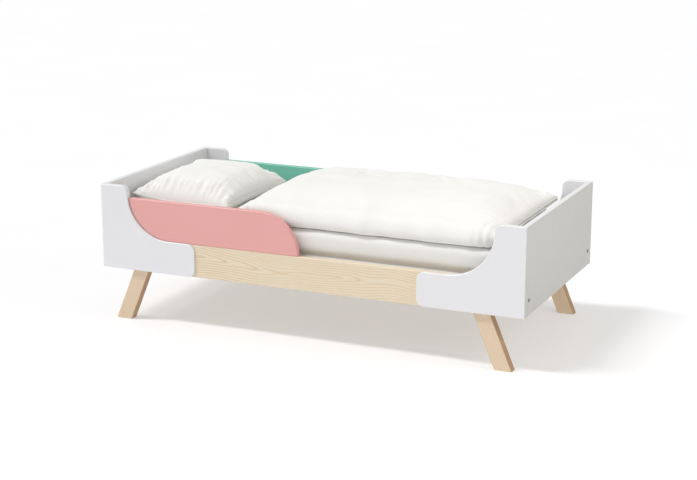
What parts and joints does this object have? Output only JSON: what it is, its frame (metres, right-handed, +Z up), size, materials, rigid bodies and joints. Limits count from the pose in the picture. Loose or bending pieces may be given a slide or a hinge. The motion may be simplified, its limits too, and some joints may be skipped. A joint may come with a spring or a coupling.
{
  "type": "toddler bed",
  "caption": "Low toddler bed with white curved ends, pale wooden side rails and splayed legs, lift-off pink and mint guard boards, mattress, duvet and pillow.",
  "frame": {"origin": "on the floor, under the middle of the bed", "axes": "+X along the bed from the head end to the foot end, +Y from the front side to the back side, +Z up"},
  "size_m": [1.66, 0.794, 0.5323],
  "materials": {
    "white_lacquer": "satin white lacquer on board",
    "pink_lacquer": "satin pink lacquer",
    "mint_lacquer": "satin mint green lacquer",
    "pale_birch": "clear matt lacquer on pale wood",
    "oiled_beech": "clear matt lacquer on wood",
    "zinc_steel": "zinc plated",
    "mattress_cotton": "plain cotton cover",
    "bed_linen": "plain cotton"
  },
  "bodies": {
    "bed_frame": {"head_end_panel": "white_lacquer", "foot_end_panel": "white_lacquer", "head_front_wing": "white_lacquer", "head_front_leg": "oiled_beech", "head_front_leg_stud": "zinc_steel", "head_front_end_bolt": "zinc_steel", "head_front_barrel_nut": "zinc_steel", "head_front_lower_dowel": "oiled_beech", "head_front_upper_dowel": "oiled_beech", "head_back_wing": "white_lacquer", "head_back_leg": "oiled_beech", "head_back_leg_stud": "zinc_steel", "head_back_end_bolt": "zinc_steel", "head_back_barrel_nut": "zinc_steel", "head_back_lower_dowel": "oiled_beech", "head_back_upper_dowel": "oiled_beech", "foot_front_wing": "white_lacquer", "foot_front_leg": "oiled_beech", "foot_front_leg_stud": "zinc_steel", "foot_front_end_bolt": "zinc_steel", "foot_front_barrel_nut": "zinc_steel", "foot_front_lower_dowel": "oiled_beech", "foot_front_upper_dowel": "oiled_beech", "foot_back_wing": "white_lacquer", "foot_back_leg": "oiled_beech", "foot_back_leg_stud": "zinc_steel", "foot_back_end_bolt": "zinc_steel", "foot_back_barrel_nut": "zinc_steel", "foot_back_lower_dowel": "oiled_beech", "foot_back_upper_dowel": "oiled_beech", "front_rail": "pale_birch", "front_slat_bearer": "pale_birch", "back_rail": "pale_birch", "back_slat_bearer": "pale_birch", "slat_01": "pale_birch", "slat_02": "pale_birch", "slat_03": "pale_birch", "slat_04": "pale_birch", "slat_05": "pale_birch", "slat_06": "pale_birch", "slat_07": "pale_birch", "slat_08": "pale_birch", "slat_09": "pale_birch", "slat_10": "pale_birch", "slat_11": "pale_birch", "slat_12": "pale_birch"},
    "front_guard": {"front_guard_board": "pink_lacquer", "front_guard_head_pin": "zinc_steel", "front_guard_foot_pin": "zinc_steel"},
    "back_guard": {"back_guard_board": "mint_lacquer", "back_guard_head_pin": "zinc_steel", "back_guard_foot_pin": "zinc_steel"},
    "mattress": {"mattress": "mattress_cotton"},
    "duvet": {"duvet": "bed_linen"},
    "pillow": {"pillow": "bed_linen"}
  },
  "joints": [
    {"name": "front_guard_lift", "type": "slide", "parent": "bed_frame", "child": "front_guard", "axis": [0, 0, 1], "range_m": [0, 0.3]},
    {"name": "back_guard_lift", "type": "slide", "parent": "bed_frame", "child": "back_guard", "axis": [0, 0, 1], "range_m": [0, 0.3]},
    {"name": "mattress_lift", "type": "slide", "parent": "bed_frame", "child": "mattress", "axis": [0, 0, 1], "range_m": [0, 0.26]},
    {"name": "duvet_lift", "type": "slide", "parent": "mattress", "child": "duvet", "axis": [0, 0, 1], "range_m": [0, 0.3]},
    {"name": "pillow_lift", "type": "slide", "parent": "mattress", "child": "pillow", "axis": [0, 0, 1], "range_m": [0, 0.3]}
  ]
}
